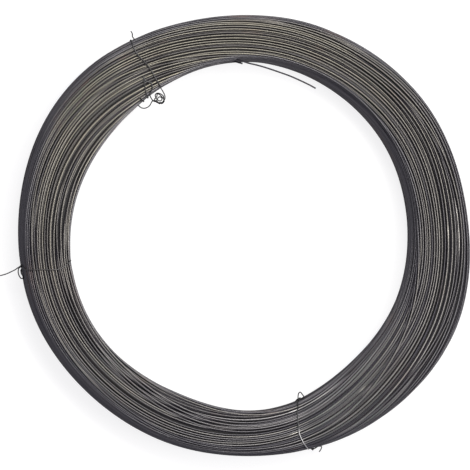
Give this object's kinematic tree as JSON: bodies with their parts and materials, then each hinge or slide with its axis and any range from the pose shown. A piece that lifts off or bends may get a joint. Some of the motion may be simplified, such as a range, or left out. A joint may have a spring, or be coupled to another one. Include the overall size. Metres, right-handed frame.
{
  "type": "coil of wire",
  "caption": "Flat-lying coil of dark annealed wire with an open eye, bound by thin tie wires, with its free end sprung into the eye.",
  "frame": {"origin": "centre of the eye at the middle of its straight wall", "axes": "+Z is the coil's axis, up from the floor it lies on; +X and +Y are the picture's right and up"},
  "size_m": [0.5047, 0.462, 0.0557],
  "materials": {
    "annealed_wire": "dark scale left by annealing, satin",
    "tie_wire": "dark scale left by annealing, worn in places"
  },
  "bodies": {
    "root": {"wire_coil": "annealed_wire", "tie_upper_left": "tie_wire", "tie_left": "tie_wire", "tie_bottom": "tie_wire"}
  },
  "joints": []
}
